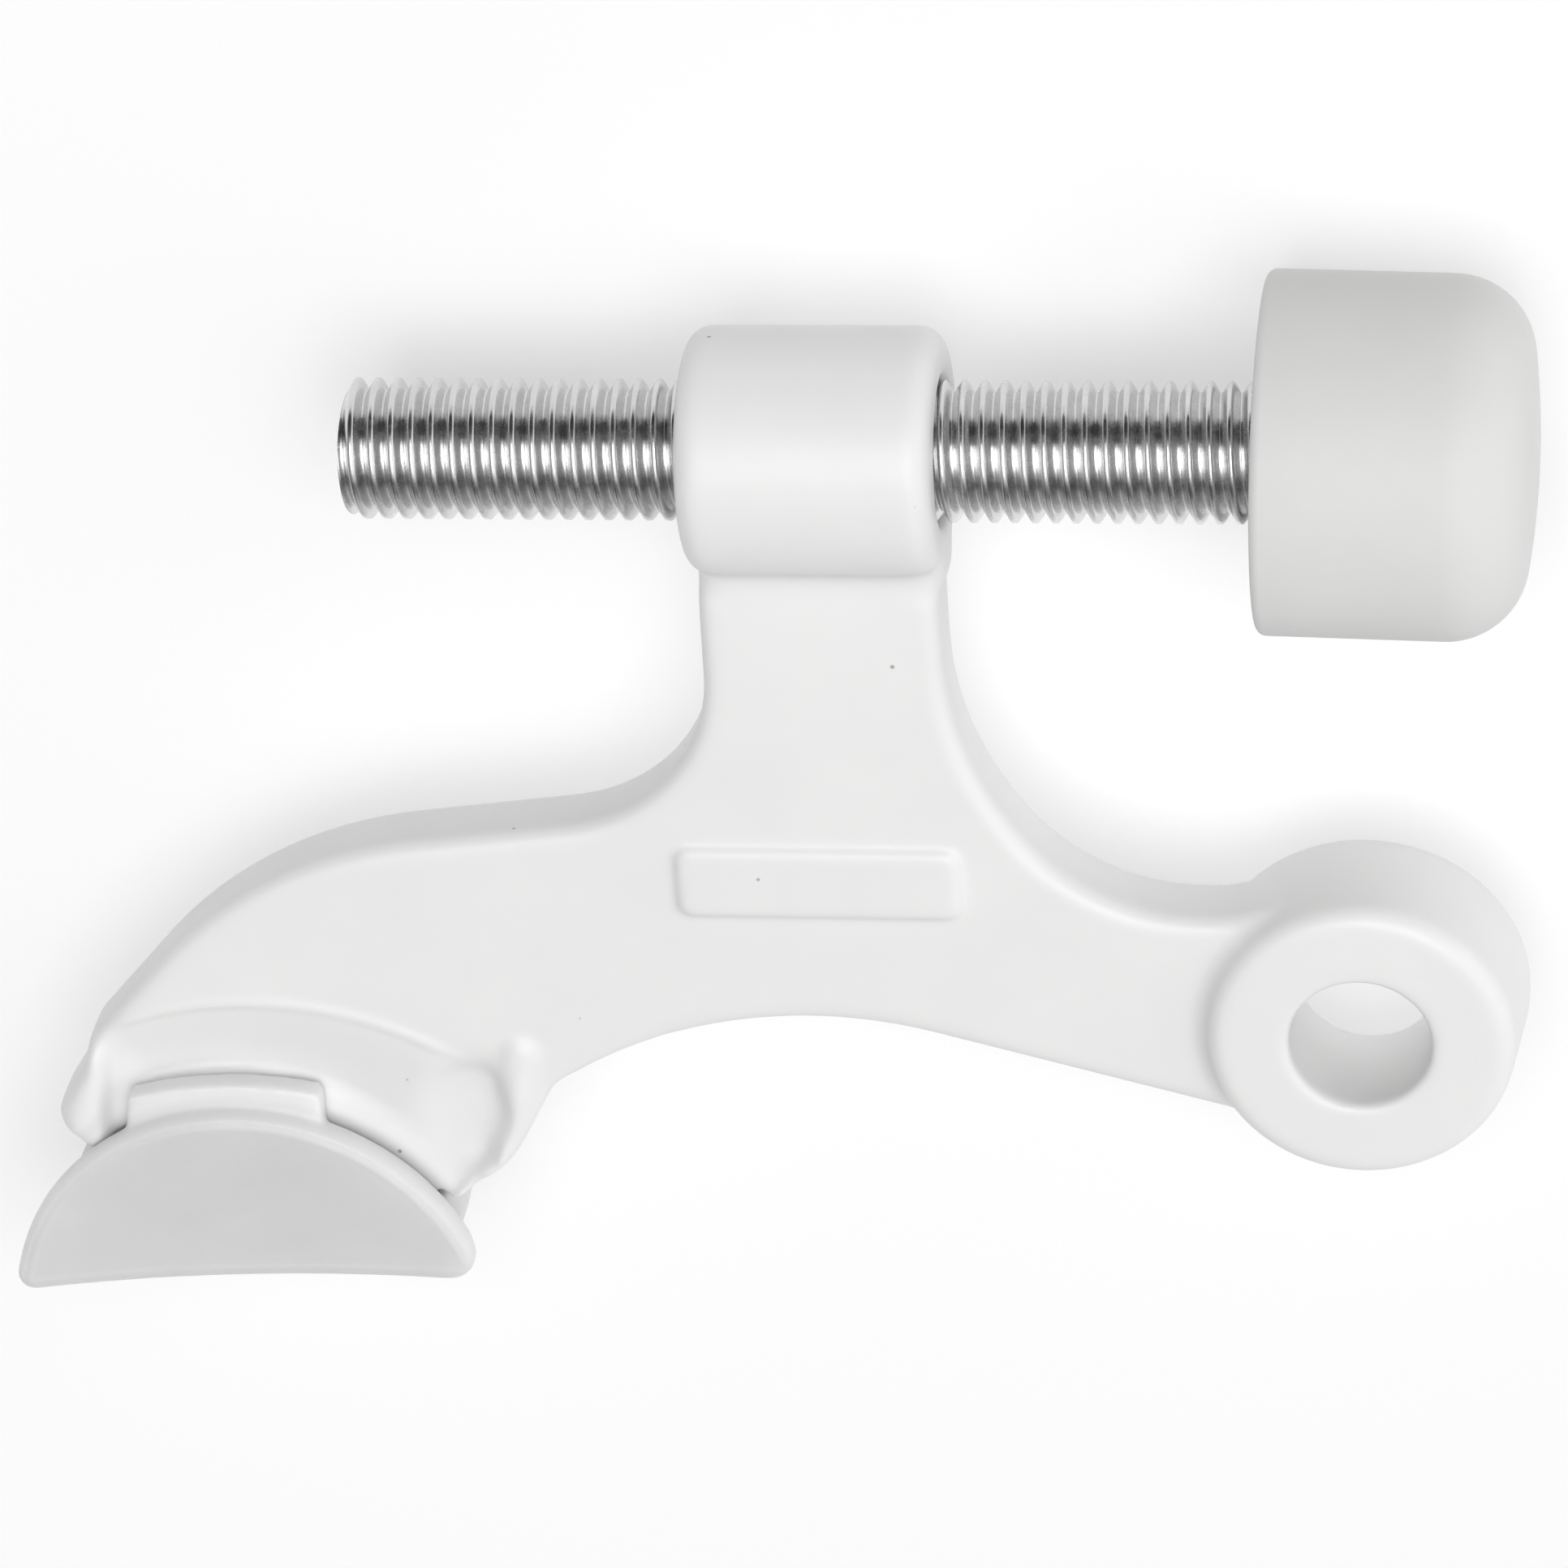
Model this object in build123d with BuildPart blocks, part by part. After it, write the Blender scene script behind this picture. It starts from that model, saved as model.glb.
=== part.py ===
from build123d import *
import math
import os

# Hinge-pin door stop, millimetres.
# The origin is the middle of the hinge-pin eye. +Z runs up along the hinge pin, +X runs from
# the eye's side of the stop along the threaded rod towards its bumper, and +Y from eye to rod.

# Hinge-pin eye
EYE_R_FRONT = 6.95
EYE_R_BACK = 7.52
EYE_HEIGHT = 6.6
EYE_BORE_R = 3.22
EYE_EDGE_R = 0.9
EYE_LIP_R = 0.35
EYE_ROOT_R = 1.0

# Cast body
PLATE_THICK = 4.0
PLATE_EDGE_R = 0.75
FOOT_CORNER_R = 0.6
BOSS_R = 5.55
BOSS_X0 = -29.2
BOSS_X1 = -17.8
BOSS_EDGE_R = 1.1
BAR_CENTRE = (-24.45, 7.45)
BAR_SIZE = (12.9, 3.4)
BAR_CORNER_R = 0.6
BAR_RAISE = 0.35

# Plate outline: corners in order, and the radii that round them
NECK_TOP_LEFT = (-29.0, 27.0)
HEEL_CORNERS = [(-29.2, 10.85), (-50.7, 8.08), (-59.5, -1.8), (-59.95, -3.4), (-61.65, -6.0)]
HEEL_RADII = [7.9, 20, 1.2, 2.0, 1.0]
BELLY_CORNERS = [(-39.75, -8.0), (-37.6, -3.95), (-28.7, 1.78), (-5.0, -4.8)]
BELLY_RADII = [4, 1.0, 21, 0.5]
NECK_TOP_RIGHT = (-17.8, 27.0)
NECK_CORNERS = [(-17.8, 22.9), (-18.2, 21.9), (-18.2, 14.4), (-13.7, 7.45), (-9.0, 5.62)]
NECK_RADII = [0.5, 0.5, 15, 10.2, 9.6]
ARM_CORNERS = [(-6.2, 5.64), (-2.0, 6.6)]
ARM_RADII = [4, 0.5]
ARM_END_LOW = (0, -4.5)
ARM_END_HIGH = (0, 5.5)

# Adjusting rod (1/4 inch), its disc and the bumper cap
ROD_AXIS_Y = 28.44
ROD_R = 3.15
ROD_X0 = -44.5
ROD_LENGTH = 44.45
ROD_CHAMFER = 0.45
ROD_CLEARANCE = 0.05
ROD_BORE_EASE = 0.35
DISC_R = 6.0
DISC_THICK = 2.4
DISC_EDGE_R = 0.4
DISC_COVER = 0.8
CAP_R = 8.05
CAP_X0 = -3.75
CAP_LENGTH = 12.1
CAP_NOSE_R = 3.6
CAP_RIM_R = 0.25
CAP_NECK_R = 3.45
CAP_GAP = 0.15

# Foot: its ears, web and tongue follow arcs about FOOT_CENTRE, which the pad turns about
FOOT_CENTRE = (-52.65, -16.56)
EAR_ARC_R = 11.2
HEEL_EAR_ANGLE = 131
TOE_EAR_ANGLE = 31.5
RECESS_FLOOR_R = 13.0
COVE_MIDDLE = (14.1, 1.48)
RECESS_R = 17.2
COVE_FLOOR_RISE = 0.6
COVE_END_RISE = 0.1
RECESS_CORNERS = [
    (-57.3, 2.0), (-58.7, -5.2), (-59.3, -12.0), (-44.5, -12.0), (-42.6, -9.6), (-40.3, -6.0), (-40.2, 2.0),
]
RECESS_RADII = [3, 1, 1, 3, 5, 1, 1]
RECESS_WALL_SLOPE = 35
TOE_CORNERS = [(-43.2, -8.0), (-43.6, -5.4), (-42.2, -3.4), (-40.7, -3.2), (-40.35, -5.6), (-41.4, -8.0)]
TOE_RADII = [0.6, 1.2, 1.0, 0.6, 1.2, 0.6]
TOE_WALL_SLOPE = 48
WEB_THICK = 2.2
TONGUE_INNER_R = 8.2
BEAD_OUTER_R = 9.4
BEAD_THICK = 3.0
TONGUE_ANGLES = (35.5, 108.0)

# Swivelling foot pad, drawn about FOOT_CENTRE with its contact face down, then tilted
PAD_TILT = 3.5
PAD_DEPTH = 6.7
PAD_GAP = 0.1
PAD_ARC_ANGLES = (21.0, 161.0)
PAD_LEFT = (-11.65, 2.1)
PAD_RIGHT = (11.25, 1.9)
PAD_FACE_MIDDLE = (-0.5, 2.66)
PAD_LEFT_TIP_R = 0.8
PAD_RIGHT_TIP_R = 1.2
PAD_BACK_R = 0.4
FLANGE_R = 11.65
FLANGE_THICK = 1.6
FLANGE_EDGE_R = 0.65
CORE_R = 11.1
CORE_LEFT = -8.0
CORE_TOE_LOW = 8.8
CORE_TOE_HIGH = (10.5, 5.31)
CORE_TOE_R = 0.7
POCKET_ANGLES = (34.2, 133.5)
TAB_TOP_LEFT = (-5.1, 12.1)
TAB_TOP_RIGHT = (4.1, 12.45)
TAB_TOP_MIDDLE = (-0.5, 12.85)
TAB_FOOT_LEFT = (-5.7, 8.0)
TAB_FOOT_RIGHT = (4.0, 8.0)
TAB_CORNER_R = 0.5
TAB_FRONT_Z = 2.55

# How far joined features run into each other, and how far a cut runs past the surface
OVERLAP = 0.6
PAST = 2.0

half_plate = PLATE_THICK / 2
half_web = WEB_THICK / 2
half_pad = PAD_DEPTH / 2


def foot_level(height):
    """Plane at a height, centred on the foot's arcs."""
    return Plane((*FOOT_CENTRE, height))


def rod_plane(x):
    """Plane across the rod's axis at x, facing +X."""
    return Plane(origin=(x, ROD_AXIS_Y, 0), x_dir=(0, 1, 0), z_dir=(1, 0, 0))


def polar(radius, degrees):
    """Point at a radius and an angle."""
    return (radius * math.cos(math.radians(degrees)), radius * math.sin(math.radians(degrees)))


def foot_point(radius, degrees):
    """Point on an arc about the foot's centre, in the part's frame."""
    dx, dy = polar(radius, degrees)
    return (FOOT_CENTRE[0] + dx, FOOT_CENTRE[1] + dy)


def sector(inner, outer, start, end):
    """Ring sector about the origin."""
    middle = (start + end) / 2
    with BuildSketch() as shape:
        with BuildLine():
            ThreePointArc(polar(outer, start), polar(outer, middle), polar(outer, end))
            Line(polar(outer, end), polar(inner, end))
            ThreePointArc(polar(inner, end), polar(inner, middle), polar(inner, start))
            Line(polar(inner, start), polar(outer, start))
        make_face()
    return shape.sketch_local


# ---------------------------------------------------------------- cast body

# Space cut out of each side of the foot: a cove round FOOT_CENTRE between two sloping ends
recess_top = half_plate + PAST

with BuildPart() as recess_cutter:
    with BuildSketch(Plane(origin=(*FOOT_CENTRE, 0), x_dir=(1, 0, 0), z_dir=(0, -1, 0))):
        with BuildLine():
            cove = Spline(
                (RECESS_FLOOR_R, half_web), COVE_MIDDLE, (RECESS_R, half_plate),
                tangents=((1, COVE_FLOOR_RISE), (1, COVE_END_RISE)),
            )
            Polyline(
                cove @ 1, (RECESS_R + PAST, recess_top), (TONGUE_INNER_R - PAST, recess_top),
                (TONGUE_INNER_R - PAST, half_web), cove @ 0,
            )
        make_face()
    revolve(axis=Axis((*FOOT_CENTRE, 0), (0, 0, 1)))
    with BuildSketch(Plane.XY.offset(half_web)):
        with BuildLine():
            FilletPolyline(*RECESS_CORNERS, radius=RECESS_RADII, close=True)
        make_face()
    extrude(amount=recess_top - half_web, taper=-RECESS_WALL_SLOPE, mode=Mode.INTERSECT)
    # Toe corner, where the floor runs on past the cove
    with BuildSketch(Plane.XY.offset(half_web)):
        with BuildLine():
            FilletPolyline(*TOE_CORNERS, radius=TOE_RADII, close=True)
        make_face()
    extrude(amount=recess_top - half_web, taper=-TOE_WALL_SLOPE)

with BuildPart() as body_casting:
    # Plate: neck, arm to the eye, arm to the foot
    with BuildSketch(Plane.XY.offset(-half_plate)) as plate_outline:
        with BuildLine() as edge:
            heel = FilletPolyline(
                NECK_TOP_LEFT, *HEEL_CORNERS, foot_point(EAR_ARC_R, HEEL_EAR_ANGLE), radius=HEEL_RADII,
            )
            track = ThreePointArc(
                heel @ 1, foot_point(EAR_ARC_R, (HEEL_EAR_ANGLE + TOE_EAR_ANGLE) / 2),
                foot_point(EAR_ARC_R, TOE_EAR_ANGLE),
            )
            belly = FilletPolyline(track @ 1, *BELLY_CORNERS, ARM_END_LOW, radius=BELLY_RADII)
            neck = FilletPolyline(
                NECK_TOP_RIGHT, *NECK_CORNERS, *ARM_CORNERS, ARM_END_HIGH, radius=NECK_RADII + ARM_RADII,
            )
            Line(belly @ 1, neck @ 1)
            Line(neck @ 0, heel @ 0)
        make_face()
        foot_corners = [track @ 0, track @ 1]
        fillet([plate_outline.vertices().sort_by_distance(p)[0] for p in foot_corners], FOOT_CORNER_R)
    extrude(amount=PLATE_THICK)
    rims = body_casting.faces().filter_by(Axis.Z).edges()
    fillet(rims, PLATE_EDGE_R)

    # Hinge-pin eye, drawn in slightly towards its upper face
    with BuildSketch(Plane.XZ) as eye_profile:
        with BuildLine():
            Polyline(
                (0, -EYE_HEIGHT / 2), (EYE_R_BACK, -EYE_HEIGHT / 2), (EYE_R_FRONT, EYE_HEIGHT / 2),
                (0, EYE_HEIGHT / 2), close=True,
            )
        make_face()
        outer_corners = eye_profile.vertices().group_by(Axis.X)[1:]
        fillet([v for group in outer_corners for v in group], EYE_EDGE_R)
    revolve(axis=Axis.Z)

    # Soft root where the arm runs into the eye
    eye_root = [
        e for e in body_casting.edges()
        if EYE_R_FRONT - 0.1 < math.hypot((e @ 0.5).X, (e @ 0.5).Y) < EYE_R_BACK + 0.1
        and abs((e @ 0.5).Z) < half_plate + 0.05
        and (e @ 0.5).X < 0
    ]
    fillet(eye_root, EYE_ROOT_R)

    # Threaded boss across the top, its ends rounded
    with BuildSketch() as boss_profile:
        with Locations(((BOSS_X0 + BOSS_X1) / 2, ROD_AXIS_Y)):
            Rectangle(BOSS_X1 - BOSS_X0, BOSS_R, align=(Align.CENTER, Align.MIN))
        fillet(boss_profile.vertices().group_by(Axis.Y)[-1], BOSS_EDGE_R)
    revolve(axis=Axis((0, ROD_AXIS_Y, 0), (1, 0, 0)))

    # Raised blank bar on the upper face
    with BuildSketch(Plane.XY.offset(half_plate - OVERLAP)):
        with Locations(BAR_CENTRE):
            RectangleRounded(*BAR_SIZE, BAR_CORNER_R)
    extrude(amount=BAR_RAISE + OVERLAP)

    # Recess on each side of the foot, leaving the web that the pad clips over
    add(recess_cutter.part, mode=Mode.SUBTRACT)
    add(mirror(recess_cutter.part, about=Plane.XY, mode=Mode.PRIVATE), mode=Mode.SUBTRACT)

    # Tongue and bead that hold the pad
    with BuildSketch(foot_level(-half_web)):
        add(sector(TONGUE_INNER_R, EAR_ARC_R + OVERLAP, *TONGUE_ANGLES))
    extrude(amount=WEB_THICK)
    with BuildSketch(foot_level(-BEAD_THICK / 2)):
        add(sector(TONGUE_INNER_R, BEAD_OUTER_R, *TONGUE_ANGLES))
    extrude(amount=BEAD_THICK)

    # Hinge-pin bore with eased lips, and the bore that guides the rod
    with BuildSketch(Plane.XY.offset(-EYE_HEIGHT)):
        Circle(EYE_BORE_R)
    extrude(amount=2 * EYE_HEIGHT, mode=Mode.SUBTRACT)
    bore_rims = body_casting.edges().filter_by(GeomType.CIRCLE).sort_by_distance((0, 0, 0))
    fillet([e for e in bore_rims if abs(e.radius - EYE_BORE_R) < 0.01], EYE_LIP_R)
    with BuildSketch(rod_plane(BOSS_X0 - PAST)):
        Circle(ROD_R + ROD_CLEARANCE)
    extrude(amount=BOSS_X1 - BOSS_X0 + 2 * PAST, mode=Mode.SUBTRACT)
    rod_bore_rims = [
        e for e in body_casting.edges().filter_by(GeomType.CIRCLE)
        if abs(e.radius - ROD_R - ROD_CLEARANCE) < 0.01
    ]
    chamfer(rod_bore_rims, ROD_BORE_EASE)

# ---------------------------------------------------------------- rod, disc and cap

with BuildPart() as threaded_rod:
    with BuildSketch(rod_plane(ROD_X0)):
        Circle(ROD_R)
    extrude(amount=ROD_LENGTH)
    chamfer(threaded_rod.edges().filter_by(GeomType.CIRCLE), ROD_CHAMFER)

rod_x1 = ROD_X0 + ROD_LENGTH
disc_x0 = rod_x1 + DISC_COVER - DISC_THICK
disc_x1 = disc_x0 + DISC_THICK

with BuildPart() as head_disc:
    with BuildSketch(rod_plane(disc_x0)):
        Circle(DISC_R)
    extrude(amount=DISC_THICK)
    fillet(head_disc.edges().filter_by(GeomType.CIRCLE), DISC_EDGE_R)
    with BuildSketch(rod_plane(rod_x1)):
        Circle(ROD_R)
    extrude(amount=-DISC_THICK, mode=Mode.SUBTRACT)

with BuildPart() as bumper_cap:
    with BuildSketch(rod_plane(CAP_X0)):
        Circle(CAP_R)
    extrude(amount=CAP_LENGTH)
    cap_ends = bumper_cap.edges().filter_by(GeomType.CIRCLE).sort_by(Axis.X)
    fillet(cap_ends[-1], CAP_NOSE_R)
    fillet(bumper_cap.edges().filter_by(GeomType.CIRCLE).sort_by(Axis.X)[0], CAP_RIM_R)
    # Undercut space for the disc, and the neck that the rod passes
    with BuildSketch(rod_plane(disc_x0 - CAP_GAP)):
        Circle(DISC_R + CAP_GAP)
    extrude(amount=DISC_THICK + 2 * CAP_GAP, mode=Mode.SUBTRACT)
    with BuildSketch(rod_plane(CAP_X0)):
        Circle(CAP_NECK_R)
    extrude(amount=disc_x0 - CAP_X0, mode=Mode.SUBTRACT)

# ---------------------------------------------------------------- swivelling foot pad

def pad_level(height):
    """Plane at a height, centred on the foot's arcs and tilted with the pad."""
    return foot_level(height).rotated((0, 0, PAD_TILT))


def pad_outline():
    """The pad's outline: the sliding arc above, the shallow hollow contact face below."""
    with BuildSketch() as shape:
        with BuildLine():
            slide = ThreePointArc(
                polar(FLANGE_R, PAD_ARC_ANGLES[0]), (0, FLANGE_R), polar(FLANGE_R, PAD_ARC_ANGLES[1]),
            )
            Line(slide @ 1, PAD_LEFT)
            ThreePointArc(PAD_LEFT, PAD_FACE_MIDDLE, PAD_RIGHT)
            Line(PAD_RIGHT, slide @ 0)
        make_face()
    return shape.sketch_local


def core_outline():
    """The outline cut back at the top and at both ends, where it passes under the foot."""
    with BuildSketch() as shape:
        add(pad_outline())
        Circle(CORE_R, mode=Mode.INTERSECT)
        with BuildSketch(mode=Mode.INTERSECT):
            with BuildLine():
                Polyline(
                    (CORE_LEFT, 0), (CORE_TOE_LOW, 0), CORE_TOE_HIGH, (CORE_TOE_HIGH[0], FLANGE_R),
                    (CORE_LEFT, FLANGE_R), close=True,
                )
            make_face()
        fillet(shape.vertices().sort_by_distance((CORE_TOE_LOW, 0))[0], CORE_TOE_R)
    return shape.sketch_local


def tab_outline():
    """The tab that stands in the foot's recess."""
    with BuildSketch() as shape:
        with BuildLine():
            ThreePointArc(TAB_TOP_LEFT, TAB_TOP_MIDDLE, TAB_TOP_RIGHT)
            Polyline(TAB_TOP_RIGHT, TAB_FOOT_RIGHT, TAB_FOOT_LEFT, TAB_TOP_LEFT)
        make_face()
        fillet(shape.vertices().group_by(Axis.Y)[-1], TAB_CORNER_R)
    return shape.sketch_local


# Front flange with a fully rounded edge
with BuildPart() as pad_flange:
    with BuildSketch(pad_level(half_pad - FLANGE_THICK)) as flange:
        add(pad_outline())
        fillet(flange.vertices().sort_by(Axis.X)[0], PAD_LEFT_TIP_R)
        fillet(flange.vertices().sort_by(Axis.X)[-1], PAD_RIGHT_TIP_R)
    extrude(amount=FLANGE_THICK)
    fillet(pad_flange.faces().filter_by(Axis.Z).edges(), FLANGE_EDGE_R)

with BuildPart() as foot_pad:
    # Core, from the back to inside the flange
    with BuildSketch(pad_level(-half_pad)):
        add(core_outline())
    extrude(amount=PAD_DEPTH - FLANGE_EDGE_R)
    fillet(foot_pad.faces().sort_by(Axis.Z)[0].edges(), PAD_BACK_R)
    add(pad_flange.part)
    # Tabs, front and back
    with BuildSketch(foot_level(-TAB_FRONT_Z)):
        add(tab_outline())
    extrude(amount=2 * TAB_FRONT_Z)
    # Pocket for the tongue and its bead
    with BuildSketch(foot_level(-half_web - PAD_GAP)):
        add(sector(TONGUE_INNER_R - PAD_GAP, RECESS_R, *POCKET_ANGLES))
    extrude(amount=WEB_THICK + 2 * PAD_GAP, mode=Mode.SUBTRACT)
    with BuildSketch(foot_level(-BEAD_THICK / 2 - PAD_GAP)):
        add(sector(TONGUE_INNER_R - PAD_GAP, BEAD_OUTER_R + PAD_GAP, *POCKET_ANGLES))
    extrude(amount=BEAD_THICK + 2 * PAD_GAP, mode=Mode.SUBTRACT)

# ---------------------------------------------------------------- export

os.makedirs("parts", exist_ok=True)
body_casting.part.label = "body_casting"
export_step(body_casting.part, "parts/body_casting.step")
threaded_rod.part.label = "threaded_rod"
export_step(threaded_rod.part, "parts/threaded_rod.step")
head_disc.part.label = "head_disc"
export_step(head_disc.part, "parts/head_disc.step")
bumper_cap.part.label = "bumper_cap"
export_step(bumper_cap.part, "parts/bumper_cap.step")
foot_pad.part.label = "foot_pad"
export_step(foot_pad.part, "parts/foot_pad.step")
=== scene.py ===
import math

import bmesh
import bpy
import numpy as np
from mathutils import Matrix, Vector


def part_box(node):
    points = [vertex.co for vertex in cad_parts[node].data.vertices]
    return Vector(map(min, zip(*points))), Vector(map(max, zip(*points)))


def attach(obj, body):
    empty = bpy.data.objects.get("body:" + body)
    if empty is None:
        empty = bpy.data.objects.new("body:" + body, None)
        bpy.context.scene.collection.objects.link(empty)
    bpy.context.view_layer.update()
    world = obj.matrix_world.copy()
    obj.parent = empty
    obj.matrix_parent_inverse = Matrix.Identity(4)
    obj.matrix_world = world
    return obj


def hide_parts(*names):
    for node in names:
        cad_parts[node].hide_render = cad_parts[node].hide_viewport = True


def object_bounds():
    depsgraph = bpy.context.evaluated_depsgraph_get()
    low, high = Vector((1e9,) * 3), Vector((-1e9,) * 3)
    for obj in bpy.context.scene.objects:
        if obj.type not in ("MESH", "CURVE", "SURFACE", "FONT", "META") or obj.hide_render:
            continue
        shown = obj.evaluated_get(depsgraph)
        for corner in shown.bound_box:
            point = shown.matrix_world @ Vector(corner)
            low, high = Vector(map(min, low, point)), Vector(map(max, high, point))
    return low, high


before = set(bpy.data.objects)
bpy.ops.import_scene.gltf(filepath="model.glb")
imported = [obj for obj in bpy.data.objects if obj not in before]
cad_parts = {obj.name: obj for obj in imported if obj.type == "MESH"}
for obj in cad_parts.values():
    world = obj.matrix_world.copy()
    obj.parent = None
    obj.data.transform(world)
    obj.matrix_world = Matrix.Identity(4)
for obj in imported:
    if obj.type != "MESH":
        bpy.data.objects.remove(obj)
cad_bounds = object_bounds()

MM = 0.001

# Centre that the pad turns about, and the radii about it over which the pad's colour turns to painted light,
# paler on its rim and tab
FOOT_CENTRE = (-52.65, -16.56)
PAINTED_LIGHT_FROM_R = (11.0, 12.4)


# ---------------------------------------------------------------- node helpers


def new_material(name):
    """A material with an empty node tree, its tree and its shader."""
    material = bpy.data.materials.new(name)
    material.use_nodes = True
    tree = material.node_tree
    tree.nodes.clear()
    output = tree.nodes.new("ShaderNodeOutputMaterial")
    shader = tree.nodes.new("ShaderNodeBsdfPrincipled")
    tree.links.new(shader.outputs["BSDF"], output.inputs["Surface"])
    return material, tree, shader


def object_coordinates(tree):
    """The object's own coordinates, which are the part's frame in metres."""
    return tree.nodes.new("ShaderNodeTexCoord").outputs["Object"]


def noise(tree, coordinates, scale, detail=2.0, roughness=0.5):
    """A noise texture's value."""
    node = tree.nodes.new("ShaderNodeTexNoise")
    node.inputs["Scale"].default_value = scale
    node.inputs["Detail"].default_value = detail
    node.inputs["Roughness"].default_value = roughness
    tree.links.new(coordinates, node.inputs["Vector"])
    return node.outputs["Fac"]


def specks(tree, coordinates, scale, size):
    """1 inside rare small round specks, 0 elsewhere."""
    cells = tree.nodes.new("ShaderNodeTexVoronoi")
    cells.inputs["Scale"].default_value = scale
    cells.inputs["Randomness"].default_value = 1.0
    tree.links.new(coordinates, cells.inputs["Vector"])
    return ramp(tree, cells.outputs["Distance"], [(0.0, 1.0), (size, 1.0), (size * 1.6, 0.0)])


def ramp(tree, value, stops):
    """Maps a value through grey stops."""
    node = tree.nodes.new("ShaderNodeValToRGB")
    elements = node.color_ramp.elements
    while len(elements) < len(stops):
        elements.new(0.5)
    for element, (position, grey) in zip(elements, stops):
        element.position = position
        element.color = (grey, grey, grey, 1.0)
    tree.links.new(value, node.inputs["Fac"])
    return node.outputs["Color"]


def mix(tree, factor, first, second):
    """Mixes two colours; each may be a colour or a socket."""
    node = tree.nodes.new("ShaderNodeMix")
    node.data_type = "RGBA"
    for socket, value in (("Factor", factor), ("A", first), ("B", second)):
        target = next(s for s in node.inputs if s.name == socket and s.type in ("RGBA", "VALUE")
                      and (s.type == "VALUE") == (socket == "Factor"))
        if isinstance(value, bpy.types.NodeSocket):
            tree.links.new(value, target)
        elif socket == "Factor":
            target.default_value = value
        else:
            target.default_value = (*value, 1.0)
    return next(s for s in node.outputs if s.type == "RGBA")


def bump(tree, shader, layers):
    """Stacks bump layers, each a height socket, a strength and a distance in metres."""
    normal = None
    for height, strength, distance in layers:
        node = tree.nodes.new("ShaderNodeBump")
        node.inputs["Strength"].default_value = strength
        node.inputs["Distance"].default_value = distance
        tree.links.new(height, node.inputs["Height"])
        if normal is not None:
            tree.links.new(normal, node.inputs["Normal"])
        normal = node.outputs["Normal"]
    tree.links.new(normal, shader.inputs["Normal"])


# ---------------------------------------------------------------- materials


def white_coat():
    """Satin white coat with faint orange peel and a few tiny dark specks."""
    material, tree, shader = new_material("white_coat")
    place = object_coordinates(tree)
    clouds = noise(tree, place, 180.0, 3.0)
    base = mix(tree, clouds, (0.80, 0.80, 0.80), (0.845, 0.845, 0.84))
    dots = specks(tree, place, 330.0, 0.026)
    tree.links.new(mix(tree, dots, base, (0.42, 0.40, 0.37)), shader.inputs["Base Color"])
    peel = noise(tree, place, 2600.0, 2.0)
    waves = noise(tree, place, 500.0, 1.0)
    bump(tree, shader, [(peel, 0.25, 0.02 * MM), (waves, 0.3, 0.06 * MM)])
    gloss = ramp(tree, noise(tree, place, 900.0, 2.0), [(0.3, 0.36), (0.7, 0.46)])
    tree.links.new(gloss, shader.inputs["Roughness"])
    shader.inputs["Specular IOR Level"].default_value = 0.4
    shader.inputs["Coat Weight"].default_value = 0.08
    shader.inputs["Coat Roughness"].default_value = 0.22
    return material


def bright_zinc():
    """Bright zinc-plated steel, slightly cloudy, with fine marks."""
    material, tree, shader = new_material("bright_zinc")
    place = object_coordinates(tree)
    clouds = noise(tree, place, 700.0, 4.0, 0.6)
    tree.links.new(mix(tree, clouds, (0.58, 0.58, 0.585), (0.76, 0.76, 0.76)), shader.inputs["Base Color"])
    gloss = ramp(tree, noise(tree, place, 2400.0, 3.0), [(0.25, 0.16), (0.75, 0.32)])
    tree.links.new(gloss, shader.inputs["Roughness"])
    marks = noise(tree, place, 5200.0, 3.0, 0.7)
    bump(tree, shader, [(marks, 0.22, 0.01 * MM)])
    shader.inputs["Metallic"].default_value = 1.0
    return material


def white_vinyl():
    """Soft matt white vinyl with a faint grain."""
    material, tree, shader = new_material("white_vinyl")
    place = object_coordinates(tree)
    clouds = noise(tree, place, 150.0, 3.0)
    tree.links.new(mix(tree, clouds, (0.68, 0.68, 0.675), (0.73, 0.73, 0.725)), shader.inputs["Base Color"])
    grain = noise(tree, place, 3400.0, 3.0, 0.6)
    soft = noise(tree, place, 420.0, 2.0)
    bump(tree, shader, [(grain, 0.3, 0.015 * MM), (soft, 0.35, 0.08 * MM)])
    gloss = ramp(tree, noise(tree, place, 800.0, 2.0), [(0.3, 0.52), (0.7, 0.62)])
    tree.links.new(gloss, shader.inputs["Roughness"])
    shader.inputs["Subsurface Weight"].default_value = 0.25
    shader.inputs["Subsurface Radius"].default_value = (1.0, 1.0, 0.95)
    shader.inputs["Subsurface Scale"].default_value = 1.5 * MM
    return material


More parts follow.
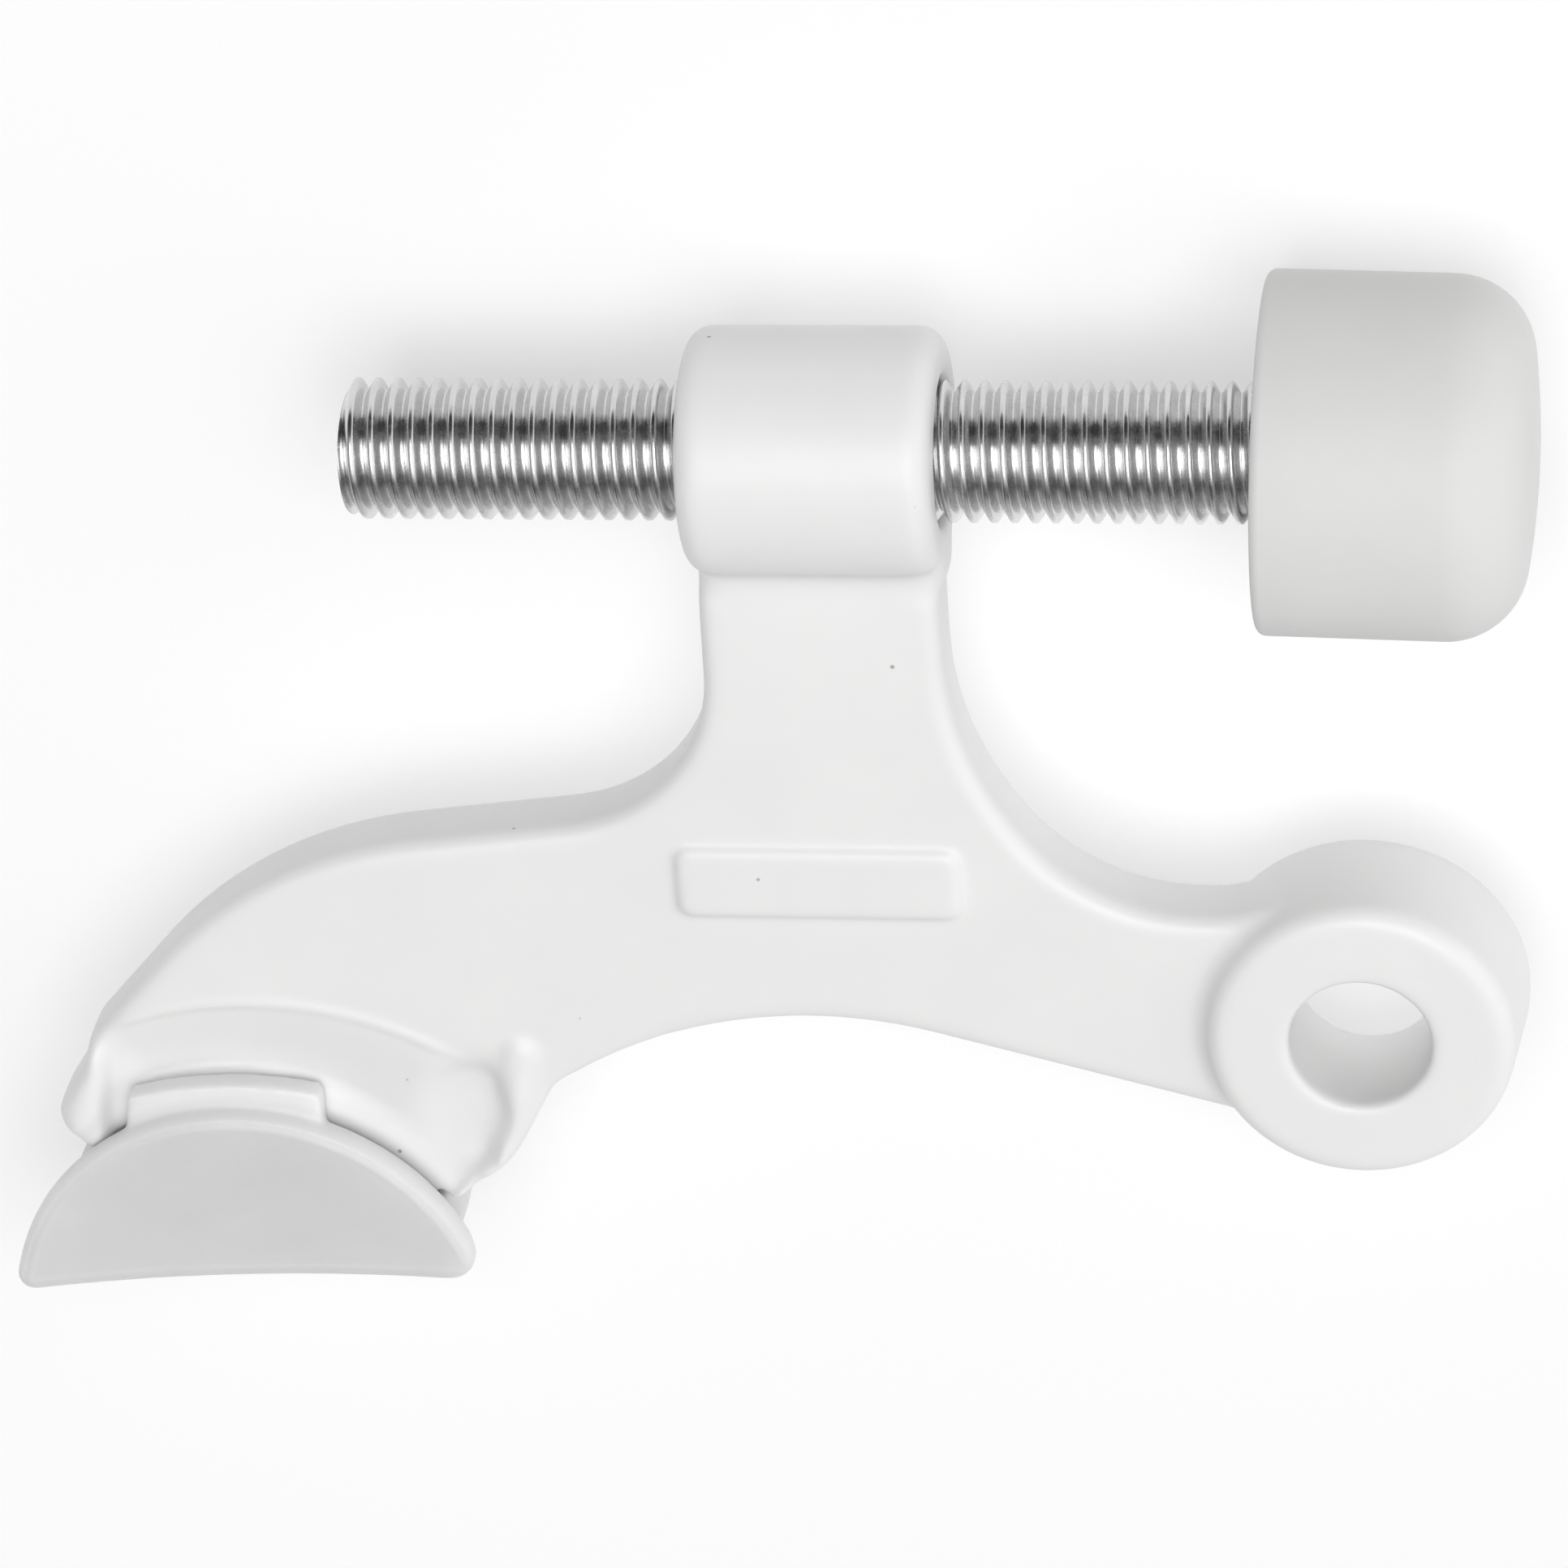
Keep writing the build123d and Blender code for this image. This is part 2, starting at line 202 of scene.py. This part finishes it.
def clear_vinyl():
    """Greyish translucent soft vinyl; its rim and tab are painted paler, as painted light."""
    material, tree, shader = new_material("clear_vinyl")
    place = object_coordinates(tree)
    clouds = noise(tree, place, 220.0, 4.0, 0.6)
    body = mix(tree, clouds, (0.62, 0.62, 0.625), (0.69, 0.69, 0.69))
    # Painted light: a paler copy of the vinyl for the rim and tab, standing in for light through them
    painted_light_tint = mix(tree, clouds, (0.82, 0.82, 0.825), (0.88, 0.88, 0.88))
    offset = tree.nodes.new("ShaderNodeVectorMath")
    offset.operation = "SUBTRACT"
    offset.inputs[1].default_value = (FOOT_CENTRE[0] * MM, FOOT_CENTRE[1] * MM, 0.0)
    tree.links.new(place, offset.inputs[0])
    flat = tree.nodes.new("ShaderNodeVectorMath")
    flat.operation = "MULTIPLY"
    flat.inputs[1].default_value = (1.0, 1.0, 0.0)
    tree.links.new(offset.outputs["Vector"], flat.inputs[0])
    from_middle = tree.nodes.new("ShaderNodeVectorMath")
    from_middle.operation = "LENGTH"
    tree.links.new(flat.outputs["Vector"], from_middle.inputs[0])
    # Share of painted light, by distance from the centre that the pad turns about
    edge = tree.nodes.new("ShaderNodeMapRange")
    edge.inputs["From Min"].default_value = PAINTED_LIGHT_FROM_R[0] * MM
    edge.inputs["From Max"].default_value = PAINTED_LIGHT_FROM_R[1] * MM
    tree.links.new(from_middle.outputs["Value"], edge.inputs["Value"])
    tree.links.new(mix(tree, edge.outputs["Result"], body, painted_light_tint), shader.inputs["Base Color"])
    grain = noise(tree, place, 3000.0, 3.0, 0.6)
    soft = noise(tree, place, 480.0, 2.0)
    bump(tree, shader, [(grain, 0.3, 0.015 * MM), (soft, 0.3, 0.06 * MM)])
    gloss = ramp(tree, noise(tree, place, 900.0, 2.0), [(0.3, 0.38), (0.7, 0.5)])
    tree.links.new(gloss, shader.inputs["Roughness"])
    shader.inputs["Subsurface Weight"].default_value = 0.6
    shader.inputs["Subsurface Radius"].default_value = (1.0, 1.0, 1.0)
    shader.inputs["Subsurface Scale"].default_value = 3.0 * MM
    return material


# The floor's glow, painted light, fades along +Y between these distances in metres, as painted shade behind
# the part
FLOOR_GLOW = 0.47
FLOOR_FADE = (0.048, 0.2)
FLOOR_FAR_GLOW = 0.2


def floor_with_painted_glow():
    """Pale backdrop with a painted glow that fades behind the part as painted shade."""
    material, tree, shader = new_material("pale_floor")
    shader.inputs["Base Color"].default_value = (0.5, 0.5, 0.5, 1.0)
    shader.inputs["Roughness"].default_value = 0.9
    shader.inputs["Emission Color"].default_value = (1.0, 1.0, 1.0, 1.0)
    parts = tree.nodes.new("ShaderNodeSeparateXYZ")
    tree.links.new(object_coordinates(tree), parts.inputs["Vector"])
    near, far = FLOOR_FADE
    # Painted shade: the glow falls off along +Y
    fall = tree.nodes.new("ShaderNodeMapRange")
    fall.interpolation_type = "SMOOTHSTEP"
    fall.inputs["From Min"].default_value = near
    fall.inputs["From Max"].default_value = far
    fall.inputs["To Min"].default_value = FLOOR_GLOW
    fall.inputs["To Max"].default_value = FLOOR_FAR_GLOW
    tree.links.new(parts.outputs["Y"], fall.inputs["Value"])
    tree.links.new(fall.outputs["Result"], shader.inputs["Emission Strength"])
    return material


def dress(obj, material):
    """Gives a whole object one material."""
    obj.data.materials.clear()
    obj.data.materials.append(material)


def smooth_object(name, mesh, material):
    """A smooth-shaded object of one material."""
    for polygon in mesh.polygons:
        polygon.use_smooth = True
    obj = bpy.data.objects.new(name, mesh)
    bpy.context.scene.collection.objects.link(obj)
    dress(obj, material)
    return obj


def mesh_object(name, bm, material):
    """Turns a bmesh into an object."""
    mesh = bpy.data.meshes.new(name)
    bm.to_mesh(mesh)
    bm.free()
    return smooth_object(name, mesh, material)


# ---------------------------------------------------------------- soft meshes

WELD = 1e-4
RELAX_STEP = 0.5


def rebuilt(node, voxel):
    """A CAD node's mesh in millimetres, remeshed into even quads."""
    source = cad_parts[node]
    bm = bmesh.new()
    bm.from_mesh(source.data)
    bm.transform(Matrix.Scale(1 / MM, 4) @ source.matrix_world)
    bmesh.ops.remove_doubles(bm, verts=bm.verts, dist=WELD)
    mesh = bpy.data.meshes.new("rough")
    bm.to_mesh(mesh)
    bm.free()
    rough = bpy.data.objects.new("rough", mesh)
    bpy.context.scene.collection.objects.link(rough)
    remesh = rough.modifiers.new("remesh", "REMESH")
    remesh.mode = "VOXEL"
    remesh.voxel_size = voxel
    graph = bpy.context.evaluated_depsgraph_get()
    even = bpy.data.meshes.new_from_object(rough.evaluated_get(graph))
    bpy.data.objects.remove(rough)
    bpy.data.meshes.remove(mesh)
    return even


def points_of(mesh):
    """A mesh's points as an array."""
    flat = np.empty(len(mesh.vertices) * 3)
    mesh.vertices.foreach_get("co", flat)
    return flat.reshape(-1, 3)


def edges_of(mesh):
    """A mesh's edges as an array of point pairs."""
    flat = np.empty(len(mesh.edges) * 2, dtype=np.int32)
    mesh.edges.foreach_get("vertices", flat)
    return flat.reshape(-1, 2)


def relax(points, edges, weight, rounds):
    """Moves each point towards the middle of its neighbours, by its own weight."""
    first, second = edges[:, 0], edges[:, 1]
    total = len(points)
    count = np.bincount(first, minlength=total) + np.bincount(second, minlength=total)
    for _ in range(rounds):
        middle = np.empty_like(points)
        for axis in range(3):
            values = points[:, axis]
            middle[:, axis] = (
                np.bincount(first, weights=values[second], minlength=total)
                + np.bincount(second, weights=values[first], minlength=total)
            )
        middle /= np.maximum(count, 1)[:, None]
        points = points + (RELAX_STEP * weight)[:, None] * (middle - points)
    return points


def fade(distance, near, far):
    """1 up to near, 0 beyond far, smooth between."""
    t = np.clip((far - distance) / (far - near), 0.0, 1.0)
    return t * t * (3 - 2 * t)


def rise(distance, low, high):
    """0 up to low, 1 beyond high, smooth between."""
    return fade(-distance, -high, -low)


def reach(points, start, end):
    """Distance in XY from each point to a line segment."""
    start, end = np.array(start), np.array(end)
    along = end - start
    t = np.clip((points[:, :2] - start) @ along / (along @ along), 0.0, 1.0)
    return np.linalg.norm(points[:, :2] - start - t[:, None] * along, axis=1)


def finish_mesh(name, mesh, points, material):
    """Writes points in millimetres back as metres and makes the piece."""
    mesh.vertices.foreach_set("co", (points * MM).ravel())
    mesh.update()
    return smooth_object(name, mesh, material)


# ---------------------------------------------------------------- cast body

# Millimetres and degrees in the part's frame; radii and angles on the foot are about FOOT_CENTRE
BODY_VOXEL = 0.17
FACE_ONLY_Z = 0.7

EDGE_ROUNDS = 6
TRACK_R = 11.2
TRACK_BELOW_Y = -3.0
TRACK_BAND = (0.3, 0.8)
TRACK_HOLD = 0.75

PLATE_TOP = 2.0
ROOT_Y = 23.26
ROOT_ENDS = (-30.0, -17.0)
ROOT_BAND = (0.7, 1.7)
ROOT_ROUNDS = 70

FOOT_RIGHT_X = -36.5
FOOT_TOP_Y = 1.5
RECESS_FROM_R = (12.0, 12.6)
RECESS_ROUNDS = 4
HOLLOW_TOP_R = 17.0
HOLLOW_FLOOR_R = 12.9
HOLLOW_FROM_R = (12.5, 12.9)
HOLLOW_FROM_ANGLE = (52.0, 88.0)
HOLLOW_TO_ANGLE = (108.0, 117.0)
HOLLOW_DEPTH = 0.6

CLEAR_OF_PAD_R = (11.9, 12.9)
TOP_FROM_Z = (1.0, 1.9)
LEFT_EAR = ((-59.7, -3.0), (-60.3, -6.6))
LEFT_EAR_BAND = (0.2, 1.5)
RIGHT_EAR = ((-39.0, -2.0), (-40.9, -8.6))
RIGHT_EAR_BAND = (0.2, 1.2)
EAR_RAISE = 0.35

TOE_CORNER = ((-43.6, -5.6), (-41.6, -2.6))
TOE_BAND = (0.6, 1.5)
TOE_ROUNDS = 60
VALLEY = ((-40.3, -3.0), (-40.4, -6.4))
VALLEY_BAND = (0.4, 1.2)
FLOOR_EDGE_R = 13.1
FLOOR_EDGE_BAND = (0.3, 1.0)
FLOOR_EDGE_TO_ANGLE = (82.0, 90.0)
VALLEY_ROUNDS = 18
LAST_ROUNDS = 3

CREASE_R = 17.25
CREASE_MIDDLE_ANGLE = 80.0
CREASE_DRIFT = 0.022
CREASE_FROM_ANGLE = (50.0, 60.0)
CREASE_TO_ANGLE = (106.0, 112.0)
CREASE_RAISE = 0.13
CREASE_WIDTH = 0.26


def radius_on_foot(points):
    """Distance in XY of each point from the centre that the pad turns about."""
    return np.hypot(points[:, 0] - FOOT_CENTRE[0], points[:, 1] - FOOT_CENTRE[1])


def push_out(points, height):
    """Moves points away from the casting's middle plane, on both faces."""
    moved = points.copy()
    moved[:, 2] += height * np.sign(points[:, 2])
    return moved


def soften_edges(points, edges):
    """Softens every edge, but keeps the arc that the pad slides on crisp."""
    track = fade(np.abs(radius_on_foot(points) - TRACK_R), *TRACK_BAND) * (points[:, 1] < TRACK_BELOW_Y)
    return relax(points, edges, 1.0 - TRACK_HOLD * track, EDGE_ROUNDS)


def blend_root(points, edges):
    """Fillet between the boss and the neck, on both faces."""
    x, y, z = points.T
    root = np.hypot(y - ROOT_Y, np.abs(z) - PLATE_TOP)
    inside = (x > ROOT_ENDS[0]) & (x < ROOT_ENDS[1])
    return relax(points, edges, fade(root, *ROOT_BAND) * inside, ROOT_ROUNDS)


def deepen_recess(points, edges, radius, angle, foot):
    """Soft walls of the foot's recess, which runs deeper beside the tab than at its toe end."""
    points = relax(points, edges, rise(radius, *RECESS_FROM_R) * foot, RECESS_ROUNDS)
    down_wall = np.clip((HOLLOW_TOP_R - radius) / (HOLLOW_TOP_R - HOLLOW_FLOOR_R), 0.0, 1.0)
    down_wall *= rise(radius, *HOLLOW_FROM_R)
    beside_tab = rise(angle, *HOLLOW_FROM_ANGLE) * fade(angle, *HOLLOW_TO_ANGLE)
    return push_out(points, -HOLLOW_DEPTH * down_wall * beside_tab * foot)


def raise_ears(points, clear_of_pad, top):
    """Ears stand slightly proud and rounded, outside the pad's path."""
    left_ear = fade(reach(points, *LEFT_EAR), *LEFT_EAR_BAND)
    right_ear = fade(reach(points, *RIGHT_EAR), *RIGHT_EAR_BAND)
    return push_out(points, EAR_RAISE * np.maximum(left_ear, right_ear) * top * clear_of_pad)


def smooth_toe(points, edges, radius, angle, on_foot):
    """The toe's corner runs smoothly out of the recess and its valley."""
    toe = fade(reach(points, *TOE_CORNER), *TOE_BAND)
    points = relax(points, edges, toe * (np.abs(points[:, 2]) > FACE_ONLY_Z), TOE_ROUNDS)
    valley = fade(reach(points, *VALLEY), *VALLEY_BAND)
    floor_edge = fade(np.abs(radius - FLOOR_EDGE_R), *FLOOR_EDGE_BAND) * fade(angle, *FLOOR_EDGE_TO_ANGLE)
    points = relax(points, edges, np.maximum(valley, floor_edge) * on_foot, VALLEY_ROUNDS)
    return relax(points, edges, on_foot, LAST_ROUNDS)


def add_crease(points, radius, angle, top):
    """Fine crease along the top of the recess."""
    crease_r = CREASE_R + CREASE_DRIFT * (CREASE_MIDDLE_ANGLE - angle)
    along = rise(angle, *CREASE_FROM_ANGLE) * fade(angle, *CREASE_TO_ANGLE)
    across = np.exp(-(((radius - crease_r) / CREASE_WIDTH) ** 2))
    return push_out(points, CREASE_RAISE * across * along * top)


def add_body():
    """Coated casting: the CAD shape with softened edges, a blended root and a fuller foot."""
    mesh = rebuilt("body_casting", BODY_VOXEL)
    points, edges = points_of(mesh), edges_of(mesh)
    points = soften_edges(points, edges)
    points = blend_root(points, edges)

    x, y, z = points.T
    radius = radius_on_foot(points)
    angle = np.degrees(np.arctan2(y - FOOT_CENTRE[1], x - FOOT_CENTRE[0]))
    foot = (x < FOOT_RIGHT_X) & (y < FOOT_TOP_Y) & (np.abs(z) > FACE_ONLY_Z)
    clear_of_pad = rise(radius, *CLEAR_OF_PAD_R)

    points = deepen_recess(points, edges, radius, angle, foot)
    top = rise(np.abs(points[:, 2]), *TOP_FROM_Z)
    points = raise_ears(points, clear_of_pad, top)
    points = smooth_toe(points, edges, radius, angle, clear_of_pad * foot)
    points = add_crease(points, radius, angle, top)

    body = finish_mesh("coated_body", mesh, points, white)
    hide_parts("body_casting")
    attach(body, "casting")


# ---------------------------------------------------------------- foot pad

PAD_VOXEL = 0.12
PAD_ROUNDS = 9
PAD_TILT = math.radians(3.5)
PAD_FRONT = 3.35
PAD_FRONT_BAND = 0.25
PAD_FLAT_BAND = 0.1
PAD_EDGE_R = 0.65
PAD_SLIDE_R = 11.65
PAD_FACE_POINTS = ((-11.65, 2.1), (-0.5, 2.66), (11.25, 1.9))
# The line stands at the front face's level and the rest of the face lies LINE_RAISE below it
LINE_WIDTH = 0.13
LINE_RAISE = 0.05


def circle_through(a, b, c):
    """Centre and radius of the circle through three points."""
    rows = np.array([[b[0] - a[0], b[1] - a[1]], [c[0] - a[0], c[1] - a[1]]])
    squares = np.array([np.dot(b, b) - np.dot(a, a), np.dot(c, c) - np.dot(a, a)]) / 2
    centre = np.linalg.solve(rows, squares)
    return centre, float(np.linalg.norm(centre - np.array(a)))


def add_pad():
    """Soft translucent pad: rounded edges and a fine moulding line round its front face."""
    mesh = rebuilt("foot_pad", PAD_VOXEL)
    points, edges = points_of(mesh), edges_of(mesh)
    points = relax(points, edges, np.ones(len(points)), PAD_ROUNDS)

    # The pad's own axes
    dx = points[:, 0] - FOOT_CENTRE[0]
    dy = points[:, 1] - FOOT_CENTRE[1]
    u = dx * math.cos(PAD_TILT) + dy * math.sin(PAD_TILT)
    v = dy * math.cos(PAD_TILT) - dx * math.sin(PAD_TILT)

    # Moulding line where the flat face meets the rounded edge
    centre, radius = circle_through(*PAD_FACE_POINTS)
    from_face = np.abs(np.hypot(u - centre[0], v - centre[1]) - radius)
    from_slide = PAD_SLIDE_R - np.hypot(u, v)
    inward = np.minimum(from_face, from_slide)
    front = points[:, 2] > PAD_FRONT - PAD_FRONT_BAND
    line = np.exp(-(((inward - PAD_EDGE_R) / LINE_WIDTH) ** 2)) * front
    points[:, 2] += LINE_RAISE * (line - 1.0) * (points[:, 2] > PAD_FRONT - PAD_FLAT_BAND)

    pad = finish_mesh("soft_pad", mesh, points, pad_vinyl)
    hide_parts("foot_pad")
    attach(pad, "pad")


# ---------------------------------------------------------------- bumper cap

CAP_SEGMENTS = 128
CAP_NOSE_R = 3.6
CAP_DOME = 0.3
CAP_NECK_R = 3.45
CAP_CAVITY_R = 6.15
CAP_CAVITY = (1.95, 4.65)
CAP_LIP_R = 0.45
CAP_RIM_HOLLOW = ((0.08, 5.0), (0.12, 6.0), (0.06, 7.0))
CAP_DOME_STEPS = 8
CAP_TILT = math.radians(-1.6)


def arc(centre_x, centre_r, radius, start, end, steps):
    """Points of an arc in a lathe profile; angles are in degrees from the axis."""
    angles = [math.radians(start + (end - start) * i / steps) for i in range(steps + 1)]
    return [(centre_x + radius * math.cos(a), centre_r + radius * math.sin(a)) for a in angles]


def cap_profile(length, radius):
    """Profile from the cavity's middle, round the open rim, to the middle of the end."""
    low, high = CAP_CAVITY
    lip = CAP_LIP_R
    profile = [(high, 0.0), (high, CAP_CAVITY_R * 0.5), (high, CAP_CAVITY_R), (low, CAP_CAVITY_R)]
    profile += [(low, CAP_NECK_R), ((low + lip) / 2, CAP_NECK_R), (lip, CAP_NECK_R)]
    profile += arc(lip, CAP_NECK_R + lip, lip, 270, 180, 5)[1:]
    profile += CAP_RIM_HOLLOW
    profile += arc(lip, radius - lip, lip, 180, 90, 6)
    straight = length - CAP_NOSE_R - CAP_DOME
    profile += [(straight * t, radius) for t in (0.25, 0.5, 0.75)]
    profile += arc(straight, radius - CAP_NOSE_R, CAP_NOSE_R, 90, 6, 16)
    dome_x, dome_r = profile[-1]
    for step in range(1, CAP_DOME_STEPS + 1):
        share = 1 - step / CAP_DOME_STEPS
        profile.append((dome_x + (length - dome_x) * (1 - share ** 2), dome_r * share))
    return profile


def add_cap():
    """Soft bumper cap, turned in one closed skin, sitting slightly askew on the rod."""
    low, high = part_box("bumper_cap")
    radius = (high[2] - low[2]) / 2 / MM
    axis_y = (high[1] + low[1]) / 2 / MM
    x0 = low[0] / MM
    profile = cap_profile((high[0] - low[0]) / MM, radius)
    bm = bmesh.new()
    rings = []
    for x, r in profile:
        if r < 1e-6:
            rings.append([bm.verts.new((x0 + x, axis_y, 0.0))])
            continue
        ring = []
        for side in range(CAP_SEGMENTS):
            angle = 2 * math.pi * side / CAP_SEGMENTS
            ring.append(bm.verts.new((x0 + x, axis_y + r * math.cos(angle), r * math.sin(angle))))
        rings.append(ring)
    for first, second in zip(rings, rings[1:]):
        for side in range(CAP_SEGMENTS):
            following = (side + 1) % CAP_SEGMENTS
            if len(first) == 1:
                bm.faces.new((first[0], second[following], second[side]))
            elif len(second) == 1:
                bm.faces.new((first[side], first[following], second[0]))
            else:
                bm.faces.new((first[side], first[following], second[following], second[side]))
    bmesh.ops.recalc_face_normals(bm, faces=bm.faces)
    pivot = Vector((x0 + CAP_CAVITY[0], axis_y, 0.0))
    turn = Matrix.Translation(pivot) @ Matrix.Rotation(CAP_TILT, 4, "Z") @ Matrix.Translation(-pivot)
    bm.transform(Matrix.Scale(MM, 4) @ turn)
    cap = mesh_object("soft_cap", bm, vinyl)
    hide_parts("bumper_cap")
    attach(cap, "cap")


# ---------------------------------------------------------------- camera, floor, light

# The camera's place and its three axes, solved from the photograph's outlines
CAMERA_PLACE = Vector((24.974, 179.069, 293.270)) * MM
CAMERA_RIGHT = Vector((0.98871, -0.06342, -0.13573))
CAMERA_UP = Vector((-0.01215, 0.86904, -0.49459))
CAMERA_BACK = Vector((0.14932, 0.49066, 0.85846))
SENSOR = 36.0
LENS = 172.98
FLOOR_SIZE = 3.0
STAGE_CENTRE = Vector((-27.0, 11.0, 0.0)) * MM
KEY_ANGLE = math.radians(15)
KEY_SIDE = 0.12
KEY_DISTANCE = 0.7
KEY_SIZE = 0.5
KEY_POWER = 2.8534
SURROUND_STOPS = (
    (0.0, 0.6), (0.06, 0.5), (0.14, 0.12), (0.26, 0.12), (0.4, 0.88), (0.7, 0.88), (0.84, 0.03), (1.0, 0.03),
)
SURROUND_SIDE = 0.6


def add_camera():
    """Camera at the photograph's viewing angle."""
    data = bpy.data.cameras.new("camera")
    data.sensor_width = SENSOR
    data.lens = LENS
    data.clip_start = 0.01
    data.clip_end = 10.0
    camera = bpy.data.objects.new("camera", data)
    bpy.context.scene.collection.objects.link(camera)
    turn = Matrix((CAMERA_RIGHT, CAMERA_UP, CAMERA_BACK)).transposed().to_4x4()
    camera.matrix_world = Matrix.Translation(CAMERA_PLACE) @ turn
    bpy.context.scene.camera = camera


def add_area(name, place, target, size, power):
    """Square soft light aimed at a point."""
    data = bpy.data.lights.new(name, "AREA")
    data.shape = "SQUARE"
    data.size = size
    data.energy = power
    light = bpy.data.objects.new(name, data)
    bpy.context.scene.collection.objects.link(light)
    light.location = place
    light.rotation_euler = (Vector(target) - Vector(place)).to_track_quat("-Z", "Y").to_euler()


def add_stage():
    """Pale floor under the part, one large soft light and the surround."""
    low = cad_bounds[0][2]
    bm = bmesh.new()
    bmesh.ops.create_grid(bm, x_segments=2, y_segments=2, size=FLOOR_SIZE)
    bmesh.ops.translate(bm, vec=(0, 0, low), verts=bm.verts)
    floor = mesh_object("floor", bm, floor_with_painted_glow())

    toward_key = Vector((KEY_SIDE, math.sin(KEY_ANGLE), math.cos(KEY_ANGLE)))
    add_area("key", STAGE_CENTRE + KEY_DISTANCE * toward_key, STAGE_CENTRE, KEY_SIZE, KEY_POWER)
    add_surround()
    bpy.context.scene.view_settings.view_transform = "Standard"


def add_surround():
    """Soft surround: brighter towards +X, dark along the +Y horizon, which the bright metal mirrors."""
    world = bpy.data.worlds.new("surround")
    world.use_nodes = True
    tree = world.node_tree
    direction = tree.nodes.new("ShaderNodeTexCoord").outputs["Generated"]
    parts = tree.nodes.new("ShaderNodeSeparateXYZ")
    tree.links.new(direction, parts.inputs["Vector"])
    half = tree.nodes.new("ShaderNodeMath")
    half.operation = "MULTIPLY_ADD"
    half.inputs[1].default_value = 0.5
    half.inputs[2].default_value = 0.5
    tree.links.new(parts.outputs["Y"], half.inputs[0])
    shade = ramp(tree, half.outputs["Value"], SURROUND_STOPS)
    side = tree.nodes.new("ShaderNodeMath")
    side.operation = "MULTIPLY_ADD"
    side.inputs[1].default_value = SURROUND_SIDE
    side.inputs[2].default_value = 1.0
    tree.links.new(parts.outputs["X"], side.inputs[0])
    scaled = tree.nodes.new("ShaderNodeVectorMath")
    scaled.operation = "SCALE"
    tree.links.new(shade, scaled.inputs[0])
    tree.links.new(side.outputs["Value"], scaled.inputs["Scale"])
    background = tree.nodes["Background"]
    tree.links.new(scaled.outputs["Vector"], background.inputs["Color"])
    background.inputs["Strength"].default_value = 1.0
    bpy.context.scene.world = world


# ---------------------------------------------------------------- threaded rod

# 1/4-28 thread
PITCH = 25.4 / 28 * MM
THREAD_DEPTH = 0.6 * PITCH
PHASES = 12
SIDES = 96
CREST_FLAT = 0.1
FLANK = 0.74
ROUNDNESS = 0.35
END_DROP = 0.3 * MM
MERGE = 1e-7


def thread_height(phase):
    """Height above the root, 0 to 1, at a phase of 0 to 1 along one pitch."""
    distance = abs(phase - 0.5) * 2
    slope = min(max((1.0 - distance - CREST_FLAT) / FLANK, 0.0), 1.0)
    return slope * (2 - slope) * ROUNDNESS + slope * (1 - ROUNDNESS)


def build_thread(x0, x1, axis_y, crest):
    """One continuous right-hand helical sheet, cut flat at both ends and capped."""
    root = crest - THREAD_DEPTH

    def radius_at(x, angle):
        phase = ((x - x0) / PITCH - angle / (2 * math.pi)) % 1.0
        limit = crest - END_DROP + min(x - x0, x1 - x)
        return min(root + THREAD_DEPTH * thread_height(phase), limit)

    bm = bmesh.new()
    turns = int((x1 - x0) / PITCH) + 3
    rows = turns * PHASES
    grid = []
    for row in range(rows):
        ring = []
        for side in range(SIDES):
            angle = 2 * math.pi * side / SIDES
            x = x0 + PITCH * (row / PHASES - 1 + side / SIDES)
            x = min(max(x, x0), x1)
            r = radius_at(x, angle)
            ring.append(bm.verts.new((x, axis_y + r * math.cos(angle), r * math.sin(angle))))
        grid.append(ring)
    for row in range(rows - 1):
        for side in range(SIDES - 1):
            corners = (grid[row][side], grid[row][side + 1], grid[row + 1][side + 1], grid[row + 1][side])
            bm.faces.new(corners)
    for row in range(rows - 1 - PHASES):
        last = SIDES - 1
        corners = (grid[row][last], grid[row + PHASES][0], grid[row + PHASES + 1][0], grid[row + 1][last])
        bm.faces.new(corners)
    bmesh.ops.remove_doubles(bm, verts=bm.verts, dist=MERGE)
    bmesh.ops.dissolve_degenerate(bm, edges=bm.edges, dist=MERGE)
    loose = [v for v in bm.verts if not v.link_faces]
    bmesh.ops.delete(bm, geom=loose, context="VERTS")
    edges = [e for e in bm.edges if e.is_boundary]
    bmesh.ops.holes_fill(bm, edges=edges, sides=0)
    bmesh.ops.triangulate(bm, faces=[f for f in bm.faces if len(f.verts) > 4])
    bmesh.ops.recalc_face_normals(bm, faces=bm.faces)
    return bm


def add_rod():
    """Threaded rod in place of the plain CAD rod."""
    low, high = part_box("threaded_rod")
    crest = (high[2] - low[2]) / 2
    bm = build_thread(low[0], high[0], (low[1] + high[1]) / 2, crest)
    rod = mesh_object("rod_thread", bm, zinc)
    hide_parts("threaded_rod")
    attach(rod, "rod")


# ---------------------------------------------------------------- assembly

white = white_coat()
zinc = bright_zinc()
vinyl = white_vinyl()
pad_vinyl = clear_vinyl()

add_camera()
add_stage()
dress(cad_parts["head_disc"], zinc)
add_body()
add_rod()
add_cap()
add_pad()
